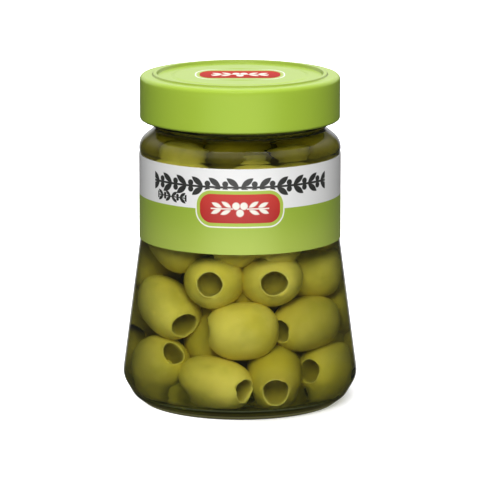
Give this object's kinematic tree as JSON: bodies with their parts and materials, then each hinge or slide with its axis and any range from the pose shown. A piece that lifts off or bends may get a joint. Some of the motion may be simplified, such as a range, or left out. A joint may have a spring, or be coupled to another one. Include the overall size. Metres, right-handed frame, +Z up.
{
  "type": "jar of olives",
  "caption": "Shut clear glass jar of pitted green olives in brine, with a light green metal twist-off lid and a white and green paper label.",
  "frame": {"origin": "middle of the flat ring of glass that the jar stands on", "axes": "+Z up along the jar's axis, towards the lid; -Y towards the front of the label"},
  "size_m": [0.0776, 0.0776, 0.1092],
  "materials": {
    "clear_glass": "polished",
    "green_lacquer": "satin",
    "label_paper": "semi-gloss paper, white above and light green below",
    "olive_skin": "wet satin"
  },
  "bodies": {
    "root": {"glass_jar": "clear_glass", "lid": "green_lacquer", "label": "label_paper", "olives": "olive_skin"}
  },
  "joints": []
}
